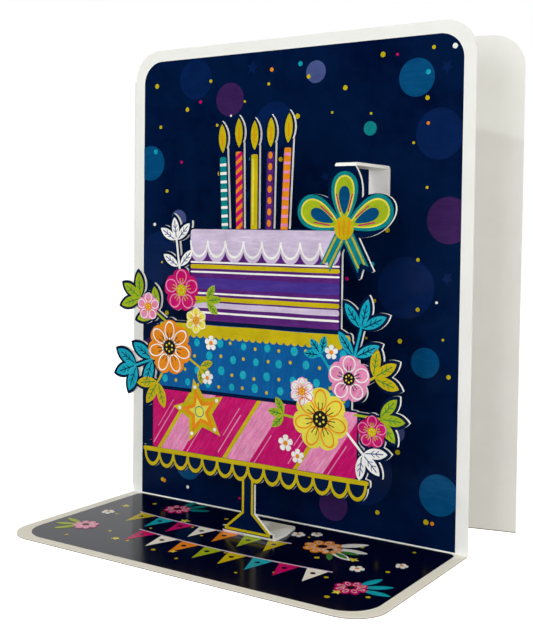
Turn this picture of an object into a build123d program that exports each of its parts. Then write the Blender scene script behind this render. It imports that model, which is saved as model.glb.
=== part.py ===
"""Pop-up greeting card standing open: one folded card sheet and one die-cut, folded pop-up sheet.

Millimetres, +Z up, seen from the front along +Y, with the origin in the middle of the base's underside.
Both sheets are drawn with the upright wall's printed face in the plane y = 0 and moved back to that
origin at the end: the base reaches towards -Y and the rear leaf swings back towards +Y.
"""

import os
from math import cos, pi, radians, sin

from build123d import *

# Card sheet: upright wall, base folded forward from it, rear leaf folded back along its left edge.
wall_width = 150.0
wall_height = 185.0
base_depth = 73.0
leaf_width = 158.0
leaf_angle = 12.9
corner_radius = 12.0
card_thickness = 0.5
card_fold_radius = 0.4
spine_radius = 1.0
spine_relief = 2.5

# Pop-up sheet: stands parallel to the wall, this far in front of it.
stand_off = 26.0
board_thickness = 1.1
board_fold_radius = 0.4
cut_margin = 1.2

# Cake on its stand, drawn on the pop-up sheet.
cake_axis = 1.0
foot_width = 22.0
foot_height = 7.5
foot_rim = 1.2
foot_tab_depth = 18.0
foot_tab_taper = 2.0
column_width = 5.6
tray_height = 25.5
tray_width = 99.0
tray_thickness = 3.0
scallop_count = 14
scallop_drop = 5.2
bottom_tier_width = 90.0
bottom_tier_height = 23.0
middle_tier_width = 84.0
middle_tier_height = 26.0
top_tier_width = 65.0
top_tier_height = 35.0
top_tier_shift = 5.0
tier_corner_radius = 1.5

# Candles cut free of one another along the top of the cake, with their own heights and leans in degrees.
candle_count = 5
candle_pitch = 6.3
candle_shift = 1.5
candle_width = 4.0
candle_height = 29.0
flame_width = 5.0
flame_height = 12.5
flame_belly = 5.6
candle_steps = (0.0, 1.8, 0.6, 1.4, 2.6)
candle_leans = (2.6, 1.0, 0.2, -0.8, -2.4)

# Gift bow at the upper right, whose middle loop runs back to the wall as a bridge.
bow_overhang = 0.8
knot_rise = 0.5
knot_radius = 5.2
bridge_rise = 22.2
bridge_width = 8.0
bridge_tab = 12.0
middle_loop_width = 13.0
loop_length = 20.5
loop_width = 13.5
loop_angle = 24.0
tail_length = 18.0
tail_width = 6.6
tail_angle = 62.0

# Leafy sprigs: root x, root z, direction in degrees, stem length, then the leaves' length and width.
stem_width = 2.4
leaf_pitch = 8.0
leaf_spread = 50.0
sprigs = [
    (-38.0, 64.0, 200.0, 17.0, 12.5, 6.4),
    (-37.0, 60.0, 238.0, 10.0, 12.0, 6.0),
    (-36.0, 76.0, 147.0, 19.0, 11.5, 5.8),
    (-30.0, 90.0, 98.0, 20.0, 10.5, 5.2),
    (42.0, 62.0, 76.0, 20.0, 12.0, 5.4),
    (43.0, 58.0, 32.0, 12.0, 11.5, 5.8),
    (44.0, 50.0, 358.0, 12.0, 11.0, 5.6),
    (40.0, 45.0, 314.0, 13.0, 11.0, 5.6),
]

# Blossoms: centre x, centre z and radius.
least_petals = 5
petal_pitch = 1.75
petal_overlap = 1.12
blossoms = [
    (-35.5, 67.0, 11.5),
    (-30.0, 89.0, 9.0),
    (-46.0, 82.0, 6.2),
    (31.0, 47.0, 12.0),
    (42.0, 62.0, 9.0),
    (51.0, 45.0, 6.4),
]

# Heights of the cake's tiers and the middle of the bow's knot, from the sizes above.
bottom_tier_z = tray_height + tray_thickness
middle_tier_z = bottom_tier_z + bottom_tier_height
top_tier_z = middle_tier_z + middle_tier_height
cake_top_z = top_tier_z + top_tier_height
knot_z = cake_top_z + knot_rise
bow_x = cake_axis + top_tier_shift + top_tier_width / 2 + bow_overhang
bridge_z = knot_z + bridge_rise


def panel(width, height, radius):
    """Flat rectangle on its lower edge, with both upper corners rounded."""
    blank = Rectangle(width, height, align=(Align.CENTER, Align.MIN))
    return fillet(blank.vertices().group_by(Axis.Y)[-1], radius)


def folded_strip(points, radius, thickness, width, x_middle):
    """Strip of sheet folded along a path in the YZ plane, with round folds."""
    path = FilletPolyline(*points, radius=radius + thickness / 2)
    section = Plane.YZ * trace(path, thickness)
    return Pos(X=x_middle) * extrude(section, width / 2, both=True)


def card_sheet():
    """Wall, base and rear leaf: one sheet with two folds."""
    fold = card_fold_radius + card_thickness
    wall_plane = Plane.XZ.offset(-card_thickness)
    wall = wall_plane * Pos(Y=fold) * panel(wall_width, wall_height - fold, corner_radius)
    wall = extrude(wall, card_thickness)
    base_length = base_depth - card_fold_radius
    base = Plane.XY * Pos(Y=-card_fold_radius) * Rot(Z=180) * panel(wall_width, base_length, corner_radius)
    base = extrude(base, card_thickness)
    bend_ring = Circle(fold) - Circle(card_fold_radius)
    bend_quarter = bend_ring & Rectangle(fold, fold, align=(Align.MIN, Align.MAX))
    bend = Plane.YZ * Pos(-card_fold_radius, fold) * bend_quarter
    bend = extrude(bend, wall_width / 2, both=True)

    spine_start = (-wall_width / 2, card_thickness / 2)
    spine_path = JernArc(spine_start, (-1, 0), spine_radius + card_thickness / 2, leaf_angle - 180)
    spine_height = wall_height - corner_radius - spine_relief
    spine = Pos(Z=spine_relief) * extrude(trace(spine_path, card_thickness), spine_height)
    leaf_root = spine_path @ 1
    leaf_plane = Plane(
        origin=leaf_root,
        x_dir=(cos(radians(leaf_angle)), sin(radians(leaf_angle)), 0),
        z_dir=(sin(radians(leaf_angle)), -cos(radians(leaf_angle)), 0),
    )
    leaf = leaf_plane * Pos(X=leaf_width / 2) * panel(leaf_width, wall_height, corner_radius)
    leaf = extrude(leaf, card_thickness / 2, both=True)
    return wall + bend + base + spine + leaf


def pointed_leaf(x, z, direction, length, width):
    """Leaf outline: two equal arcs from the root to the tip."""
    left_side = ThreePointArc((0, 0), (length / 2, width / 2), (length, 0))
    right_side = ThreePointArc((length, 0), (length / 2, -width / 2), (0, 0))
    return Pos(x, z) * Rot(Z=direction) * make_face([left_side, right_side])


def sprig(x, z, direction, stem_length, blade_length, blade_width):
    """Stem with opposite pairs of leaves and one leaf at its end."""
    pairs = int(stem_length // leaf_pitch)
    outline = Rectangle(stem_length, stem_width, align=(Align.MIN, Align.CENTER))
    outline += pointed_leaf(stem_length - stem_width, 0, 0, blade_length, blade_width)
    for pair in range(pairs):
        along = stem_length * (pair + 1) / pairs - stem_width
        for turn in (leaf_spread, -leaf_spread):
            outline += pointed_leaf(along, 0, turn, blade_length, blade_width)
    return Pos(x, z) * Rot(Z=direction) * outline


def blossom(x, z, radius):
    """Blossom outline: a ring of round petals about a middle disc."""
    petals = max(least_petals, round(radius / petal_pitch))
    half_step = sin(pi / petals)
    petal_radius = petal_overlap * radius * half_step / (1 + half_step)
    ring = PolarLocations(radius - petal_radius, petals, start_angle=90)
    petal_faces = [place * Circle(petal_radius) for place in ring]
    return Pos(x, z) * (Circle(radius - petal_radius) + petal_faces)


def tier(width, height, z, shift):
    """One tier of the cake, with eased corners."""
    return Pos(cake_axis + shift, z + height / 2) * RectangleRounded(width, height, tier_corner_radius)


def cake_stand():
    """Tray with a hanging scalloped edge, on a column that flares into a foot."""
    fold_top = card_thickness + board_fold_radius + board_thickness
    tray = Pos(cake_axis, tray_height + tray_thickness / 2) * RectangleRounded(
        tray_width, tray_thickness, tray_thickness / 3
    )
    pitch = (tray_width - tray_thickness) / scallop_count
    scallop = Ellipse(pitch / 2 + cut_margin / 2, scallop_drop)
    row = GridLocations(pitch, 1, scallop_count, 1)
    scallops = [Pos(cake_axis, tray_height) * place * scallop for place in row]
    column_height = tray_height - fold_top
    column = Rectangle(column_width, column_height, align=(Align.CENTER, Align.MIN))
    foot = make_face(
        Polyline(
            (-foot_width / 2, 0),
            (foot_width / 2, 0),
            (column_width / 2, foot_height),
            (-column_width / 2, foot_height),
            close=True,
        )
    )
    return tray + scallops + Pos(cake_axis, fold_top) * (column + foot)


def candle(x, z, step, lean):
    """One candle with its flame, cut free along both sides and leaning over from its root."""
    body_height = candle_height + step
    body = Rectangle(candle_width, body_height, align=(Align.CENTER, Align.MIN))
    flame_left = ThreePointArc((0, 0), (-flame_width / 2, flame_belly), (0, flame_height))
    flame_right = ThreePointArc((0, flame_height), (flame_width / 2, flame_belly), (0, 0))
    flame = Pos(Y=body_height - flame_width / 2) * make_face([flame_left, flame_right])
    return Pos(x, z) * Rot(Z=lean) * (body + flame)


def gift_bow():
    """Bow of two side loops, two tails and a middle loop that ends at the bridge fold."""
    knot_place = Pos(bow_x, knot_z)
    rise = bridge_rise - board_fold_radius - board_thickness
    belly = (middle_loop_width / 2, rise / 2)
    loop_side = ThreePointArc((0, 0), belly, (bridge_width / 2, rise))
    half_loop = make_face([loop_side, Polyline((bridge_width / 2, rise), (0, rise), (0, 0))])
    pieces = Circle(knot_radius) + half_loop + mirror(half_loop, Plane.YZ)
    for side, angle in ((1, loop_angle), (-1, 180 - loop_angle)):
        loop = Pos(X=loop_length / 2) * Ellipse(loop_length / 2, loop_width / 2)
        pieces += Rot(Z=angle) * loop
        tail = Rectangle(tail_length, tail_width, align=(Align.MIN, Align.CENTER))
        notch = Pos(X=tail_length) * Rot(Z=45) * Rectangle(tail_width / 2, tail_width / 2)
        pieces += Rot(Z=-90 + side * (90 - tail_angle)) * (tail - notch)
    return knot_place * pieces


def popup_outline():
    """The whole die-cut outline of the standing part of the pop-up sheet."""
    overlap = tier_corner_radius * 2
    outline = cake_stand()
    outline += tier(bottom_tier_width, bottom_tier_height + overlap, bottom_tier_z - overlap, 0)
    outline += tier(middle_tier_width, middle_tier_height + overlap, middle_tier_z - overlap, 0)
    outline += tier(top_tier_width, top_tier_height + overlap, top_tier_z - overlap, top_tier_shift)
    for index, (step, lean) in enumerate(zip(candle_steps[:candle_count], candle_leans)):
        x = cake_axis + candle_shift + (index - (candle_count - 1) / 2) * candle_pitch
        outline += candle(x, cake_top_z - overlap, step + overlap, lean)
    outline += gift_bow()
    outline += [sprig(*values) for values in sprigs]
    outline += [blossom(*values) for values in blossoms]
    return outline


def popup_sheet():
    """Die-cut standing part with its foot tab and its bridge to the wall, all one sheet."""
    middle_plane = -stand_off + board_thickness / 2
    standing = Plane.XZ.offset(stand_off - board_thickness) * popup_outline()
    standing = extrude(standing, board_thickness)

    tab_middle = card_thickness + board_thickness / 2
    foot_start = card_thickness + board_fold_radius + board_thickness
    foot_tab = folded_strip(
        [
            (middle_plane, foot_start + foot_rim),
            (middle_plane, tab_middle),
            (middle_plane + foot_tab_depth, tab_middle),
        ],
        board_fold_radius,
        board_thickness,
        foot_width,
        cake_axis,
    )
    tab_corners = foot_tab.edges().filter_by(Axis.Z).group_by(Axis.Y)[-1]
    foot_tab = chamfer(tab_corners, foot_tab_depth / 2, foot_tab_taper)

    bridge_middle = bridge_z - board_thickness / 2
    bridge = folded_strip(
        [
            (middle_plane, bridge_z - bridge_tab),
            (middle_plane, bridge_middle),
            (-board_thickness / 2, bridge_middle),
            (-board_thickness / 2, bridge_z - bridge_tab),
        ],
        board_fold_radius,
        board_thickness,
        bridge_width,
        bow_x,
    )
    return standing + foot_tab + bridge


def main():
    os.makedirs("parts", exist_ok=True)
    to_origin = Pos(Y=base_depth / 2)
    export_step(to_origin * card_sheet(), "parts/card_sheet.step")
    export_step(to_origin * popup_sheet(), "parts/popup_sheet.step")


main()
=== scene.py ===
"""Looks of a pop-up greeting card: its inks, card stock, studio and camera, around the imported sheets.

Sizes are in millimetres and become metres where a piece is placed. The frame is the card's own: +Z up, the
wall's printed face towards -Y, and the origin in the middle of the base's underside.
"""

import logging
import math
import random
from dataclasses import dataclass, field, replace
from enum import Enum

import bpy
from mathutils import Matrix, Vector


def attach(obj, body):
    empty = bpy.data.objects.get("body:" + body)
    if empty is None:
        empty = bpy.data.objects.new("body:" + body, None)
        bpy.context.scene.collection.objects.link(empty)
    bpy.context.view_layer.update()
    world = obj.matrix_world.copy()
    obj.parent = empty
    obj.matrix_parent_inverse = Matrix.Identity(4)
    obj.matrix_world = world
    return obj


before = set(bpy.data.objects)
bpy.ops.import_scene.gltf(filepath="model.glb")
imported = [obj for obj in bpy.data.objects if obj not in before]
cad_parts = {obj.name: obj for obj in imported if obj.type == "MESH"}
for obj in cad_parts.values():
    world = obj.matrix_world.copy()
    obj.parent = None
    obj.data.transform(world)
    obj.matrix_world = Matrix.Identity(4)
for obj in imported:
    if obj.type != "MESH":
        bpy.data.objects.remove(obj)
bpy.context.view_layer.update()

log = logging.getLogger("popup_card")

Colour = tuple[int, int, int]
Span = tuple[float, float]
Point = tuple[float, float, float]
Triple = tuple[float, float, float]
Quad = tuple[float, float, float, float]
Box = Quad  # left, low, right and high edge
Node = bpy.types.Node
Socket = bpy.types.NodeSocket
Piece = bpy.types.Object
Inputs = dict[str | int, object]
Outputs = bpy.types.bpy_prop_collection

ORIGIN = (0.0, 0.0, 0.0)
ALONG_Y = (0.0, 1.0, 0.0)
MM = 0.001
FILM = 0.03  # thickness of one layer of ink
SINK = 0.01  # how deep an ink's underside lies in the sheet
MARK_RISE = 0.8  # share of a layer over which the marks of one piece climb
TRIM_TOLERANCE = 1e-7
WALL_Y = 36.5
POPUP_Y = 10.5
BASE_Z = 0.5
UP = 90.0
PETAL_ROOT = 0.12  # where petals begin, as a share of a blossom's radius
SMALL_PETALS = 5
SMALL_PETAL_WIDTH = 0.72
SMALL_EYE = 0.6


def linear(colour: Colour) -> Quad:
    """Turns a colour of 0 to 255 into the linear values that a shader socket takes.

    Args:
        colour: Red, green and blue as a picture program shows them.

    Returns:
        Linear red, green, blue and a full alpha.
    """
    steps = [c / 255.0 for c in colour]
    flat = [c / 12.92 if c <= 0.04045 else ((c + 0.055) / 1.055) ** 2.4 for c in steps]
    return (flat[0], flat[1], flat[2], 1.0)


def pick(*pieces: Piece) -> None:
    """Selects these pieces alone, the last one active, so that an operator acts on nothing else.

    Args:
        pieces: What is selected, or nothing at all.
    """
    bpy.ops.object.select_all(action="DESELECT")
    for piece in pieces:
        piece.select_set(True)
        bpy.context.view_layer.objects.active = piece


def set_mode(mode: str) -> None:
    """Puts the active piece into edit or object mode."""
    bpy.ops.object.mode_set(mode=mode)


def select_mesh() -> None:
    """Selects all of the mesh in edit mode."""
    bpy.ops.mesh.select_all(action="SELECT")


class Slot(Enum):
    """Material slots of the record."""

    CARD = "card"
    BOARD = "board"


class Layer(Enum):
    """Order in which the inks lie on one another, lowest first."""

    GROUND = 1
    FIELD = 2
    BAND = 3
    LINE = 4
    SPRIG = 5
    VEIN = 6
    PETAL = 7
    OUTLINE = 8
    EYE = 9
    SPARK = 10
    FOLD = 11
    KNOT = 12
    CREASE = 13


class Shape(Enum):
    """Outlines that the print repeats, each modelled once in a unit box."""

    DOT = "dot"
    RING = "ring"
    LEAF = "leaf"
    BAR = "bar"
    STROKE = "stroke"
    STAR = "star"
    PENNANT = "pennant"
    SCALLOP = "scallop"
    ARC = "arc"
    THREAD = "thread"
    PETAL = "petal"
    TAIL = "tail"


# Width of a round outline's rim, 0 for a full disc, and whether its lower half hangs from the middle line.
ROUND = {
    Shape.DOT: (0.0, False),
    Shape.RING: (0.085, False),
    Shape.SCALLOP: (0.0, True),
    Shape.ARC: (0.12, True),
    Shape.THREAD: (0.07, True),
}


class Pattern(Enum):
    """Patterns on the candles."""

    RINGS = "level bands"
    TWIST = "slanted bands"
    GLEAM = "one long light"
    DOTS = "dots"


class NodeBench:
    """Small helper that adds and joins nodes in one tree."""

    def __init__(self, tree: bpy.types.NodeTree) -> None:
        """Keeps the tree that the nodes go into."""
        self.tree = tree

    def add(self, kind: str, inputs: Inputs | None = None, **values: object) -> Node:
        """Adds a node, sets its properties and feeds its sockets.

        Args:
            kind: The node's type name.
            inputs: What its sockets take, as in feed.
            values: Properties of the node by name.

        Returns:
            The new node.
        """
        node = self.tree.nodes.new(kind)
        for name, value in values.items():
            setattr(node, name, value)
        self.feed(node, inputs or {})
        return node

    def feed(self, node: Node, inputs: Inputs) -> None:
        """Links other nodes' outputs to a node's sockets, or sets plain values there.

        Args:
            node: The node that takes them.
            inputs: An output or a plain value for each socket, by the socket's name or number.
        """
        for key, value in inputs.items():
            if isinstance(value, Socket):
                self.tree.links.new(value, node.inputs[key])
            else:
                node.inputs[key].default_value = value

    def place(self) -> Socket:
        """Gives the place on the object, in metres."""
        return self.add("ShaderNodeTexCoord").outputs["Object"]

    def noise(self, vector: Socket, scale: float, detail: float, rough: float) -> Socket:
        """Gives noise of so many cells per unit, of so many octaves, each a share of the one before."""
        inputs = {"Vector": vector, "Scale": scale, "Detail": detail, "Roughness": rough}
        return self.add("ShaderNodeTexNoise", inputs).outputs["Fac"]

    def remap(self, value: Socket, old: Span, new: Span = (0.0, 1.0)) -> Socket:
        """Stretches a value from one range to another, and holds it inside the new one."""
        inputs = dict(enumerate((value, *old, *new)))
        return self.add("ShaderNodeMapRange", inputs, clamp=True).outputs[0]

    def math(self, operation: str, first: Socket, second: Socket) -> Socket:
        """Gives the result of a math operation on two values."""
        return self.add("ShaderNodeMath", {0: first, 1: second}, operation=operation).outputs[0]

    def blend(self, factor: Socket, first: Socket, second: object) -> Socket:
        """Mixes a colour with a second one, a socket or plain, by the second one's share."""
        return self.add("ShaderNodeMix", {0: factor, 6: first, 7: second}, data_type="RGBA").outputs[2]

    def group(self, effect: "EffectGroup", **inputs: object) -> Outputs:
        """Adds a shared effect, feeds its sockets and gives its outputs."""
        return self.add("ShaderNodeGroup", inputs, node_tree=effect.tree()).outputs

    def bump(self, height: Socket, strength: float, depth: float) -> Socket:
        """Gives the normal over a relief of a depth in metres."""
        inputs = {"Height": height, "Strength": strength, "Distance": depth}
        return self.add("ShaderNodeBump", inputs).outputs[0]


def new_material(
    name: str, specular: float, rough: float = 1.0
) -> tuple[bpy.types.Material, NodeBench, Node]:
    """Makes a material of nodes.

    Args:
        name: What it is called.
        specular: Level of its reflections.
        rough: Its roughness, where no node gives it.

    Returns:
        The material, the bench for its nodes and its Principled shader.
    """
    made = bpy.data.materials.new(name)
    made.use_nodes = True
    bench, shader = NodeBench(made.node_tree), made.node_tree.nodes["Principled BSDF"]
    bench.feed(shader, {"Specular IOR Level": specular, "Roughness": rough})
    return made, bench, shader


class EffectGroup:
    """A shader node group that several finishes share, with its sockets' names and kinds."""

    name = "effect"
    takes: tuple[tuple[str, str], ...] = ()
    gives: tuple[tuple[str, str], ...] = ()

    def tree(self) -> bpy.types.NodeTree:
        """Builds the group's tree at first use.

        Returns:
            The tree, the same one for every material.
        """
        found = bpy.data.node_groups.get(self.name)
        if found is not None:
            return found
        tree = bpy.data.node_groups.new(self.name, "ShaderNodeTree")
        for way, sockets in (("INPUT", self.takes), ("OUTPUT", self.gives)):
            for label, kind in sockets:
                tree.interface.new_socket(name=label, in_out=way, socket_type="NodeSocket" + kind)
        bench = NodeBench(tree)
        bench.add("NodeGroupOutput", self.fill(bench, bench.add("NodeGroupInput").outputs))
        return tree

    def fill(self, bench: NodeBench, taken: Outputs) -> Inputs:
        """Builds the group's nodes.

        Args:
            bench: Where they go.
            taken: What the group takes, by name.

        Returns:
            What the group gives, by name.
        """
        raise NotImplementedError


class BrushedInk(EffectGroup):
    """Gouache look: dry brush streaks and soft blotches in a printed colour."""

    name = "brushed_ink"
    takes = (
        ("Vector", "Vector"), ("Grain", "Vector"), ("Tone", "Color"), ("Brush", "Color"),
        ("Streak", "Float"), ("Speck", "Float"),
    )
    gives = (("Color", "Color"),)

    def fill(self, bench: NodeBench, taken: Outputs) -> Inputs:
        """Mixes the brush tone into the ink along stretched noise, and mottles the result.

        Args:
            bench: Where the nodes go.
            taken: What the group takes, by name.

        Returns:
            The brushed colour.
        """
        place = taken["Vector"]
        stretch = bench.add("ShaderNodeVectorMath", {0: place, 1: taken["Grain"]}, operation="MULTIPLY")
        hairs = bench.remap(bench.noise(stretch.outputs[0], scale=1.0, detail=5.0, rough=0.7), (0.47, 0.66))
        grain = bench.remap(bench.noise(place, scale=2100.0, detail=2.0, rough=0.6), (0.54, 0.66))
        streak = bench.math("MULTIPLY", hairs, taken["Streak"])
        speck = bench.math("MULTIPLY", grain, taken["Speck"])
        streaked = bench.blend(bench.math("MAXIMUM", streak, speck), taken["Tone"], taken["Brush"])
        cloud = bench.noise(place, scale=170.0, detail=3.0, rough=0.6)
        blotch = bench.remap(cloud, (0.3, 0.7), (0.86, 1.06))
        mottle = bench.add("ShaderNodeVectorMath", {0: streaked, "Scale": blotch}, operation="SCALE")
        return {"Color": mottle.outputs[0]}


class Laminate(EffectGroup):
    """Clear glossy film over the print: faint smears in its gloss and a fine orange peel."""

    name = "laminate_film"
    takes = (("Vector", "Vector"), ("Gloss", "Float"))
    gives = (("Roughness", "Float"), ("Height", "Float"))

    def fill(self, bench: NodeBench, taken: Outputs) -> Inputs:
        """Varies the roughness about its plain value and gives a low bump.

        Args:
            bench: Where the nodes go.
            taken: What the group takes, by name.

        Returns:
            The roughness, and the height of the peel.
        """
        smear = bench.noise(taken["Vector"], scale=45.0, detail=4.0, rough=0.65)
        rough = bench.math("ADD", bench.remap(smear, (0.3, 0.7), (-0.03, 0.05)), taken["Gloss"])
        peel = bench.noise(taken["Vector"], scale=900.0, detail=2.0, rough=0.5)
        return {"Roughness": rough, "Height": peel}


class CardFibre(EffectGroup):
    """White stock: pressed fibre, cloudy formation and specks."""

    name = "card_fibre"
    takes = (("Vector", "Vector"), ("Tone", "Color"), ("Shade", "Color"))
    gives = (("Color", "Color"), ("Height", "Float"))

    def fill(self, bench: NodeBench, taken: Outputs) -> Inputs:
        """Mixes the shade into the white by clouds and specks, and gives the fibre's height.

        Args:
            bench: Where the nodes go.
            taken: What the group takes, by name.

        Returns:
            The stock's colour and height.
        """
        cloud = bench.noise(taken["Vector"], scale=60.0, detail=5.0, rough=0.6)
        fibre = bench.noise(taken["Vector"], scale=1600.0, detail=3.0, rough=0.7)
        speck = bench.remap(fibre, (0.6, 0.75), (0.0, 0.35))
        share = bench.math("ADD", bench.remap(cloud, (0.35, 0.7), (0.0, 0.3)), speck)
        return {"Color": bench.blend(share, taken["Tone"], taken["Shade"]), "Height": fibre}


@dataclass(frozen=True)
class InkFinish:
    """One printed colour under glossy film, with brush hairs that run at a lean in degrees."""

    tone: Colour
    brush: Colour
    streak: float = 0.5
    lean: float = 0.0
    speck: float = 0.15
    hairs: Span = (140.0, 1000.0)
    gloss: float = 0.2
    specular: float = 0.05
    sheen_tint: Colour = (255, 255, 255)
    peel: Span = (0.04, 0.0002)

    def material(self, name: str) -> bpy.types.Material:
        """Builds the ink's material.

        Args:
            name: What the material is called.

        Returns:
            The material, built once and shared after that.
        """
        found = bpy.data.materials.get(name)
        if found is not None:
            return found
        made, bench, shader = new_material(name, self.specular)
        place = bench.place()
        turn = (0.0, math.radians(self.lean), 0.0)
        leaning = bench.add("ShaderNodeMapping", {"Vector": place, "Rotation": turn}).outputs["Vector"]
        along, across = self.hairs
        amounts = {"Grain": (along, across, across), "Streak": self.streak, "Speck": self.speck}
        tones = {"Tone": linear(self.tone), "Brush": linear(self.brush)}
        ink = bench.group(BrushedInk(), Vector=leaning, **amounts, **tones)
        film = bench.group(Laminate(), Vector=place, Gloss=self.gloss)
        relief = bench.bump(film["Height"], *self.peel)
        bench.feed(shader, {"Base Color": ink["Color"], "Roughness": film["Roughness"], "Normal": relief})
        bench.feed(shader, {"Specular Tint": linear(self.sheen_tint)})
        return made


class Ink(Enum):
    """The print's colours."""

    NAVY = InkFinish(
        (2, 24, 61), (1, 11, 46), 0.8, hairs=(40.0, 40.0), specular=0.025, sheen_tint=(190, 220, 255)
    )
    MIDNIGHT = InkFinish(
        (2, 5, 34), (1, 3, 26), 0.6, hairs=(60.0, 60.0), gloss=0.15, specular=0.12, sheen_tint=(222, 238, 255)
    )
    DUSK = InkFinish((6, 32, 80), (4, 26, 70))
    PLUM = InkFinish((58, 32, 86), (46, 24, 74))
    SLATE = InkFinish((72, 84, 138), (58, 70, 120))
    OCEAN = InkFinish((2, 70, 118), (18, 88, 136))
    BLUE = InkFinish((2, 84, 150), (10, 104, 168), 0.6, lean=86.0)
    TURQUOISE = InkFinish((8, 160, 186), (60, 186, 204), lean=35.0)
    TEAL = InkFinish((10, 126, 132), (34, 150, 150), lean=40.0)
    PURPLE = InkFinish((82, 30, 112), (104, 46, 130), 0.7)
    VIOLET = InkFinish((66, 46, 138), (84, 60, 150), 0.7)
    LILAC = InkFinish((200, 184, 214), (222, 208, 230), 0.8, speck=0.5)
    WHITE = InkFinish((240, 240, 238), (226, 226, 226), 0.3)
    GOLD = InkFinish((198, 178, 18), (178, 160, 10), 0.5)
    LEMON = InkFinish((228, 218, 80), (214, 202, 50))
    ORANGE = InkFinish((228, 138, 26), (212, 112, 14), lean=60.0)
    MAGENTA = InkFinish((190, 6, 100), (208, 44, 124), 0.6, lean=56.0)
    PINK = InkFinish((222, 124, 174), (240, 178, 208), 0.7, lean=56.0, speck=0.6)
    LIME = InkFinish((160, 180, 32), (138, 164, 20), lean=30.0)
    GREEN = InkFinish((64, 134, 56), (48, 112, 44), lean=60.0)
    BLACK = InkFinish((24, 16, 24), (50, 40, 40), 0.4)

    @property
    def label(self) -> str:
        """The ink's name, as the names of pieces and materials hold it."""
        return self.name.lower()

    def material(self) -> bpy.types.Material:
        """Gives this ink's material."""
        return self.value.material("ink_" + self.label)


@dataclass(frozen=True)
class StockFinish:
    """Unprinted white card stock, as on borders, cut edges and reverse sides.

    Where it stands on the table, its cut edge is painted darker as a contact shadow: over a thin band of
    given height, in full up to a given share of it, fading out above.
    """

    name: str
    tone: Colour
    shade: Colour
    rough: float
    specular: float
    relief: Span = (0.12, 0.0001)
    # Painted contact shadow at the stock's foot: its tone, the band's height in mm, and the share of that
    # height shaded in full.
    edge: Colour = (150, 140, 132)
    contact_shadow_top: float = 0.4
    contact_shadow_full: float = 0.7

    def material(self) -> bpy.types.Material:
        """Builds the stock's material, with a painted contact shadow that darkens its cut edge where it
        stands on the table.

        Returns:
            The new material.
        """
        made, bench, shader = new_material(self.name, self.specular)
        place = bench.place()
        stock = bench.group(CardFibre(), Vector=place, Tone=linear(self.tone), Shade=linear(self.shade))
        # Painted contact shadow: near the table the stock's colour blends into the dark tone.
        height = bench.add("ShaderNodeSeparateXYZ", {0: place}).outputs["Z"]
        foot = bench.remap(height, (self.contact_shadow_full * self.contact_shadow_top * MM, self.contact_shadow_top * MM), (1.0, 0.0))
        colour = bench.blend(foot, stock["Color"], linear(self.edge))
        film = bench.group(Laminate(), Vector=place, Gloss=self.rough)
        relief = bench.bump(stock["Height"], *self.relief)
        bench.feed(shader, {"Base Color": colour, "Roughness": film["Roughness"], "Normal": relief})
        return made


@dataclass(frozen=True)
class Mark:
    """One copy of an outline: its root or middle on the face, its size in mm and its turn in degrees."""

    shape: Shape
    x: float
    y: float
    width: float
    height: float
    turn: float = 0.0

    def matrix(self, rise: float) -> Matrix:
        """Gives the transform from the unit outline to millimetres on the face.

        Args:
            rise: How far the ink stands off the face.

        Returns:
            The transform.
        """
        place = Matrix.Translation((self.x, self.y, -SINK))
        turned = Matrix.Rotation(math.radians(self.turn), 4, "Z")
        return place @ turned @ Matrix.Diagonal((self.width, self.height, rise + SINK, 1.0))


Marks = list[Mark]


def polar(x: float, y: float, angle: float, distance: float) -> Span:
    """Gives the point at an angle in degrees and a distance from another point."""
    return x + distance * math.cos(math.radians(angle)), y + distance * math.sin(math.radians(angle))


def dot(x: float, y: float, size: float) -> Mark:
    """Gives a round dot about its middle."""
    return Mark(Shape.DOT, x, y, size, size)


def spoke(shape: Shape, x: float, y: float, angle: float, away: float, length: float, width: float) -> Mark:
    """Gives a mark that points away from a middle at an angle, and begins some way off."""
    return Mark(shape, *polar(x, y, angle, away), length, width, angle)


def wheel(shape: Shape, x: float, y: float, count: int, away: float, length: float, width: float) -> Marks:
    """Gives equal spokes all around a middle, the first one upwards."""
    return [spoke(shape, x, y, UP + 360.0 * k / count, away, length, width) for k in range(count)]


def flower(x: float, y: float, radius: float, petals: int, share: float) -> Marks:
    """Gives a blossom's petals, as wide as a share of its radius."""
    root = radius * PETAL_ROOT
    return wheel(Shape.PETAL, x, y, petals, root, radius * (1.0 - PETAL_ROOT), radius * share)


def row(shape: Shape, left: float, right: float, count: int, y: float, lap: float, height: float) -> Marks:
    """Gives marks side by side between two edges, each as wide as its share of the room times a lap."""
    pitch = (right - left) / count
    return [Mark(shape, left + pitch * (k + 0.5), y, pitch * lap, height) for k in range(count)]


@dataclass(frozen=True)
class Scatter:
    """Marks strewn over a box, the same at every run: seed, number, least and greatest size, outline."""

    seed: int
    count: int
    least: float
    most: float
    shape: Shape = Shape.DOT
    tries: int = 8
    turn: float = 72.0

    def marks(self, box: Box, side: float, foot: float, head: float) -> Marks:
        """Draws the marks, each at the place of a few that is farthest from those before it.

        Args:
            box: Left, low, right and high edge.
            side: Room left free at both sides.
            foot: Room left free below.
            head: Room left free above.

        Returns:
            The marks.
        """
        draw = random.Random(self.seed)
        marks: Marks = []
        left, low, right, high = box[0] + side, box[1] + foot, box[2] - side, box[3] - head
        for _ in range(self.count):
            tries = [(draw.uniform(left, right), draw.uniform(low, high)) for _ in range(self.tries)]
            x, y = max(tries, key=lambda t: min((math.dist(t, (m.x, m.y)) for m in marks), default=0.0))
            size = draw.uniform(self.least, self.most)
            marks.append(Mark(self.shape, x, y, size, size, draw.uniform(0.0, self.turn)))
        return marks


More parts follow.
